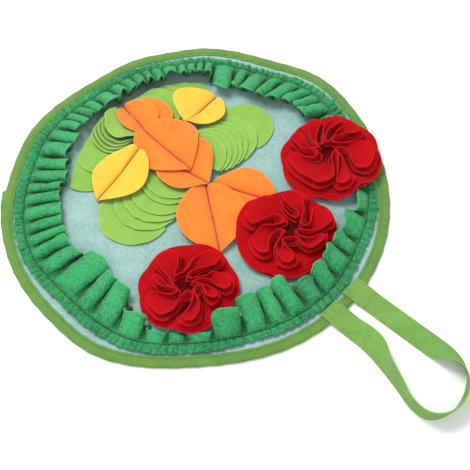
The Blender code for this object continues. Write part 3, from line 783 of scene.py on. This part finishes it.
petalSizes = {
    "steps": 144, "rings": [0, 0.03, 0.07, 0.12, 0.2, 0.3, 0.43, 0.56, 0.68, 0.79, 0.88, 0.95, 1.0],
    "puff": 2.3, "valley": 1.6, "pinch": 1.1, "cleft": 0.08, "bow": 1.2, "uneven": 0.6,
    # colour, crease from x, y to the pointed end at x, y, width left and right
    "rows": [
        ("orange", 82, 48, 8, 21, 36, 33), ("orange", 5, 14, 81, -43, 39, 41),
        ("orange", -142, 47, -76, 32, 26, 22), ("orange", -152, 32, -90, 20, 29, 20),
        ("orange", -64, 8, 9, 16, 43, 32), ("orange", -106, 20, -19, 16, 43, 36),
        ("yellow", -75, 119, -71, 60, 30, 40), ("yellow", -84, -3, -75, -84, 37, 30),
    ],
}


def makePetal(i):
    p, (colour, x0, y0, x1, y1, left, right) = petalSizes, petalSizes["rows"][i]
    cx, cy = (x0 + x1) / 2, (y0 + y1) / 2
    long = math.hypot(x1 - x0, y1 - y0)
    ux, uy = (x1 - x0) / long, (y1 - y0) / long
    bm, lifts, uv = flatDisc(p["rings"], p["steps"]), {}, []
    for v in bm.verts:
        r, turn = polar(v.co.x, v.co.y)
        c, s, _ = ringPoint(1, turn, 0)
        side = (left if s > 0 else -right) * abs(s) ** (1.65 + 0.45 * c)
        side *= 1 + 0.03 * lump(c * 1.5, s * 1.5, i, 1.0, 9)
        along = long / 2 * c * (1 - p["cleft"] * (c < 0) * bell(s, 0.16))
        dx, dy = along * ux - side * uy, along * uy + side * ux
        far = max(math.hypot(dx, dy), 1e-6)
        reach = inField(cx, cy, dx / far, dy / far, far) / far
        v.co = (cx + dx * r * reach, cy + dy * r * reach, 0)
        # the crease bows a little, and the halves swell beside it
        away = abs(side * r - p["bow"] * math.sin(math.pi * c * r) * lump(i, 0, 0, 1.7, 6))
        swell = p["puff"] * (1 - math.exp(-away / 2.4)) * (1 - 0.45 * smoothStep((away - 6) / 26))
        pinch = p["pinch"] * smoothStep((c * r + 0.2) / 1.2) * math.exp(-away / 5)
        rim = p["uneven"] * r**3 * lump(c * 1.3, s * 1.3, i, 1.0, 17)
        lifts[v] = swell - p["valley"] * bell(away, 1.3) + pinch + rim
        # painted shade along the crease, fading beside it; the cut rim gets a painted highlight
        uv.append((far * reach * (1 - r), bell(away, 1.1) + 0.18 * math.exp(-away / 4)))
    name = f"{colour}_petal_{i + 1}"
    laySheet(bm, f"petal_{colour}_{i + 1}", colour, name, uv, lifts, smooth=8)


for i in range(len(petalSizes["rows"])):
    makePetal(i)
print("petals made")


# rosettes

rosetteSizes = {
    # x, y, radius of the backing, the gathers' middle off its centre, loops as direction, half width, reach
    "rows": [
        (84, -97, 52, 5, -5, [(12, 12, 0.66), (48, 17, 0.86), (92, 13, 0.92), (168, 15, 0.94),
                              (205, 12, 0.72), (256, 27, 0.84), (318, 15, 0.80)]),
        (119, 20, 53, 6, 5, [(20, 15, 0.72), (64, 20, 0.86), (128, 16, 0.90), (188, 30, 0.94),
                             (252, 22, 0.84), (302, 13, 0.80)]),
        (95, 134, 55, -5, -4, [(28, 26, 0.94), (82, 12, 0.84), (116, 12, 0.86), (152, 14, 0.84),
                               (187, 13, 0.80), (266, 46, 0.80), (335, 11, 0.88)]),
    ],
    # one hairpin loop: turn from its middle in half widths, how far out between root and reach
    "loop": [(-0.80, 0.28), (-1.06, 0.76), (-0.58, 1.0), (0.58, 1.0), (1.06, 0.76), (0.80, 0.28)],
    "bay": 0.003, "bayLeast": 6, "spread": 0.2, "mostIn": 0.75, "mostOut": 5.0, "finer": 6,
    "twist": [38, -52, 44], "twistWithin": 0.75, "sway": 4.0, "swaySize": 23,
    "backRings": 14, "backSteps": 96, "backUneven": 0.012, "backWithin": 0.96,
    "rings": [0, 0.1, 0.2, 0.3, 0.4, 0.5, 0.6, 0.7, 0.78, 0.86, 0.92, 0.97, 1.0],
    # each gathered circle: name, its mean radius and how deep its loops run in shares of the backing's, how
    # closely it follows them, height of rim and middle, how far its loops lie inside the middle circle's, how
    # much of its solid's lift it takes, how near the middle its folds begin
    "sheets": [
        ("outer", 1.05, 0.09, 0.0, 9, 1.8, 0.0, 1.0, 0.20),
        ("fill", 0.67, 1.14, 1.0, 12.5, 2.5, -3.4, 1.0, 0.26),
        ("middle", 0.66, 1.10, 1.0, 14, 3.5, 0.0, 1.0, 0.20),
        ("inner", 0.62, 1.04, 1.0, 16, 4.5, 3.0, 0.75, 0.14),
        ("core", 0.59, 0.95, 1.0, 17.5, 5.0, 6.2, 0.75, 0.09),
    ],
    "steep": 2.1, "outerSteep": 1.6, "dome": 0.42, "uneven": 0.3, "meanShare": 0.6, "leastOff": 0.4,
    "terraces": [0.84, 0.92], "terrace": 1.1, "terraceStep": 0.008,
    # painted shade inside the gathered circles and in the dark middle pit
    "shade": 0.75, "pitShade": 0.34, "pitFade": 0.24,
    "circleShare": 0.7854,                                 # a flat circle's cloth in the square round it
}


def rimLine(loops, inside, root):
    # the rim as a smooth closed line: angle, share of the radius, the same place's angle in the flat circle
    s, corners = rosetteSizes, []
    after = loops[1:] + [(loops[0][0] + 360, *loops[0][1:])]
    bays = [b[0] - b[1] - a[0] - a[1] for a, b in zip(loops, after)]
    for k, (turn, wide, reach) in enumerate(loops):
        corners.append((turn - wide - bays[k - 1] / 2, root + s["bay"] * max(bays[k - 1] - s["bayLeast"], 0)))
        for t, out in s["loop"]:
            share = root + out * (reach - root)
            half = wide + s["spread"] * bays[k - 1 if t < 0 else k]
            inward = max(min(math.degrees(inside / share), s["mostIn"] * abs(t) * half), -s["mostOut"])
            corners.append((turn + t * half - math.copysign(inward, t), share))
    line = smoothLine([ringPoint(r, a, 0) for a, r in corners], s["finer"], closed=True)
    angles = np.degrees(np.unwrap(np.arctan2(line[:, 1], line[:, 0])))
    angles += 360 * round((corners[0][0] - angles[0]) / 360)
    steps = np.linalg.norm(line - np.roll(line, 1, 0), axis=1)
    steps[0] = 0.0
    even = 360 * np.cumsum(steps) / (steps.sum() + np.linalg.norm(line[0] - line[-1]))
    return angles, np.linalg.norm(line, axis=1), even + float((angles - even).mean())


def makeBacking(i):
    s, (x0, y0, radius) = rosetteSizes, rosetteSizes["rows"][i][:3]
    bm, uv = flatDisc([k / s["backRings"] for k in range(s["backRings"] + 1)], s["backSteps"]), []
    for v in bm.verts:
        r, a = polar(v.co.x, v.co.y)
        x, y, _ = ringPoint(radius * r * (1 + s["backUneven"] * lump(*ringPoint(2, a, i), 1.0, 5)), a, 0)
        v.co = (x0 + x, y0 + y, 0)
        # the cut rim gets a painted highlight
        uv.append((radius * (1 - r), 0.0))
    laySheet(bm, f"rosette_{i + 1}_backing", "red", f"rosette_base_{i + 1}", uv)


def backingTop(i, x, y):
    # height of a rosette's backing there, or at its rim for a place further out
    x0, y0, radius = rosetteSizes["rows"][i][:3]
    dx, dy = x - x0, y - y0
    share = min(1.0, rosetteSizes["backWithin"] * radius / max(math.hypot(dx, dy), 1.0))
    return topOf(f"rosette_{i + 1}_backing", x0 + dx * share, y0 + dy * share)


def liftTo(bm, node):
    # how far a gathered circle lies below its solid: the middle value over its places
    tree, off = solidTree(node), []
    for v in bm.verts:
        hit = rayDown(tree, v.co.x, v.co.y)
        if hit:
            off.append(hit.z - feltSizes["thick"] / 2 - v.co.z)
    return float(np.median(off))


def makeCircle(i, sheet):
    # one gathered circle: a disc whose rim is drawn in and out along the hairpin loops
    s, (x0, y0, radius, offX, offY, loops) = rosetteSizes, rosetteSizes["rows"][i]
    name, line, depth, follow, rimHigh, midHigh, nested, lifted, root = sheet
    angles, shares, evens = rimLine(loops, nested / radius, root)
    cx, cy = x0 + offX * max(follow, s["leastOff"]), y0 + offY * max(follow, s["leastOff"])
    steep, rings, terraces = s["steep"], s["rings"], []
    if name == "outer":
        steep, terraces = s["outerSteep"], s["terraces"]
        rings = sorted(rings + [q + d for q in terraces for d in (0.0, s["terraceStep"])])
    bm, uv = flatDisc(rings, len(angles)), []
    for v in bm.verts:
        out, a = polar(v.co.x, v.co.y)
        k = round(a / 360 * len(angles)) % len(angles)
        grown = out**1.4
        rho = radius * out * (line + depth * grown * (shares[k] - s["meanShare"]))
        far = rho / radius
        turn = math.radians(evens[k] + (angles[k] - evens[k]) * grown * follow)
        turn += math.radians(s["twist"][i]) * follow * max(0.0, 1 - far / s["twistWithin"])
        high = midHigh + (rimHigh - midHigh) * out**steep * (1 - s["dome"] * far**2)
        high += s["terrace"] * sum(1 for q in terraces if out < q + s["terraceStep"] / 2)
        x, y = cx + rho * math.cos(turn), cy + rho * math.sin(turn)
        sway = s["sway"] * follow * (1 - 0.8 * smoothStep((far - 0.5) / 0.5))
        x, y = x + sway * lump(x, y, 0, s["swaySize"], 3 + i), y + sway * lump(x, y, 0, s["swaySize"], 14 + i)
        v.co = (x, y, backingTop(i, x, y) + high)
        # painted shade growing inward over each circle and darkest in the middle pit
        pitShade = smoothStep((s["pitShade"] - far) / s["pitFade"]) * (1 - out**4)
        uv.append((radius * line * (1 - out), follow * max(s["shade"] * (1 - out) * (1.1 - far), pitShade)))
    node = f"rosette_{i + 1}_{name}"
    shift = liftTo(bm, node if node in solids else f"rosette_{i + 1}_middle") * lifted
    for v in bm.verts:
        v.co.z += shift + s["uneven"] * lump(v.co.x, v.co.y, 0, 9, i)
    area = flatArea(bm)
    obj = finish(f"rosette_{name}_{i + 1}", bm, felts["red"], feltSizes["thick"], uv)
    if node in solids:
        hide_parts(node)
    side = math.sqrt(area / s["circleShare"])


for i in range(len(rosetteSizes["rows"])):
    makeBacking(i)
    for sheet in rosetteSizes["sheets"]:
        makeCircle(i, sheet)
print("rosettes made")


# carry loop

loopSizes = {
    "thick": 1.1, "wide": 25.0, "crown": 0.25, "finer": 12, "columns": 8,
    # edge that stays down: x, y, z, turn up from flat
    "rows": [
        (214, 31, 5.4, 0), (227, 31, 5.4, 0), (237, 31.5, 3.4, 0), (250, 32, 0.95, 0), (300, 32, 0.95, 0),
        (322, 32, 0.95, 3), (342, 31, 0.95, 20), (359, 25, 0.95, 50), (371, 13, 0.95, 80),
        (379, -5, 0.95, 98), (381, -24, 0.95, 104), (375, -41, 0.95, 100), (364, -50, 0.95, 92),
        (347, -50, 0.95, 88),
        (325, -43, 0.95, 80), (300, -36, 0.95, 66), (275, -31, 0.95, 30), (250, -30, 0.95, 6),
        (237, -30, 3.4, 0), (227, -30, 5.4, 0), (214, -30, 5.4, 0),
    ],
    # the stitched boxes on its ends: x from and to, in from the edge from and to, height
    "boxes": (216.5, 226, 2, 23, 6.15),
}


def makeLoop():
    s = loopSizes
    rows = smoothLine(s["rows"], s["finer"])
    last, columns = len(rows) - 1, s["columns"]
    bm, uv = bmesh.new(), []
    bmesh.ops.create_grid(bm, x_segments=last, y_segments=columns, size=0.5)
    far = [0.0]
    for a, b in zip(rows, rows[1:]):
        far.append(far[-1] + math.dist(a[:3], b[:3]))
    for v in bm.verts:
        i, part = round((v.co.x + 0.5) * last), v.co.y + 0.5
        x, y, z, turn = rows[i]
        back, ahead = rows[max(i - 2, 0)], rows[min(i + 2, last)]
        along = Vector((ahead[0] - back[0], ahead[1] - back[1])).normalized()
        a, w, crown = math.radians(turn), s["wide"] * part, s["crown"] * math.sin(math.pi * part)
        inward, rise = w * math.cos(a) - crown * math.sin(a), w * math.sin(a) + crown * math.cos(a)
        v.co = (x + along.y * inward, y - along.x * inward, z + rise)
        uv.append((far[i], w - s["wide"] / 2))
    obj = finish("loop_tape", bm, tapes["loop"], s["thick"], uv, 0.2)
    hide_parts("carry_loop")
    print("carry loop", round(far[-1]), "mm long")


def loopStitches():
    x0, x1, near, far, z = loopSizes["boxes"]
    for name, side, row in (("upper", 1, loopSizes["rows"][0]), ("lower", -1, loopSizes["rows"][-1])):
        low, high = sorted((row[1] - side * near, row[1] - side * far))
        box = [(x0, low, z), (x1, low, z), (x1, high, z), (x0, high, z), (x0, low, z)]
        stitchRun(f"loop_stitches_{name}", box, threadGreen, 2.6, 0.7)


makeLoop()
loopStitches()


# floor, light and camera

studio = {
    "floor": 0.93, "floorHalf": 4, "world": 0.66,
    # place in metres, watts, size
    "lights": {"key": ((-1.0, 0.1, 2.1), 46, 1.1), "fill": ((1.4, -1.2, 1.6), 14, 1.6)},
}
# the photograph's camera: height over the floor, turn from the loop and roll in degrees, how far back, right
# and up it stands in metres, its focal length and the photograph's width in pixels
photoCamera = {
    "elevation": 57.226, "turn": 48, "roll": -6.430, "back": 1.1562, "right": 0.0466, "up": -0.0485,
    "focal": 1000, "photoWide": 470, "sensor": 36,
}


def makeStage():
    bm = bmesh.new()
    bmesh.ops.create_grid(bm, x_segments=1, y_segments=1, size=studio["floorHalf"])
    mesh = bpy.data.meshes.new("floor")
    bm.to_mesh(mesh)
    bm.free()
    floor = bpy.data.objects.new("floor", mesh)
    bpy.context.scene.collection.objects.link(floor)
    pale = studio["floor"]
    mesh.materials.append(Shader("floor_pale").finish((pale, pale, pale, 1), 0.9))
    world = bpy.data.worlds.new("studio")
    world.use_nodes = True
    sky = world.node_tree.nodes["Background"].inputs
    sky["Color"].default_value = (1, 1, 1, 1)
    sky["Strength"].default_value = studio["world"]
    bpy.context.scene.world = world
    for name, (at, power, size) in studio["lights"].items():
        light = bpy.data.lights.new(name, "AREA")
        light.energy, light.size = power, size
        lamp = bpy.data.objects.new(name, light)
        lamp.location = at
        lamp.rotation_euler = (-Vector(at)).to_track_quat("-Z", "Y").to_euler()
        bpy.context.scene.collection.objects.link(lamp)


def makeCamera():
    c = photoCamera
    elevation, roll = math.radians(c["elevation"]), math.radians(c["roll"])
    turned = Matrix.Rotation(math.radians(c["turn"]), 3, "Z")
    back = Vector((0, -math.cos(elevation), math.sin(elevation)))
    side = Vector((1, 0, 0))
    over = back.cross(side)
    right = turned @ (math.cos(roll) * side + math.sin(roll) * over)
    up = turned @ (-math.sin(roll) * side + math.cos(roll) * over)
    back = turned @ back
    at = back * c["back"] + right * c["right"] + up * c["up"]
    camera = bpy.data.cameras.new("photo")
    camera.sensor_width, camera.lens = c["sensor"], c["focal"] / c["photoWide"] * c["sensor"]
    obj = bpy.data.objects.new("photo", camera)
    obj.matrix_world = Matrix(((right.x, up.x, back.x, at.x), (right.y, up.y, back.y, at.y),
                               (right.z, up.z, back.z, at.z), (0, 0, 0, 1)))
    bpy.context.scene.collection.objects.link(obj)
    bpy.context.scene.camera = obj


makeStage()
makeCamera()
bpy.context.scene.view_settings.view_transform = "Standard"
print("stage made")
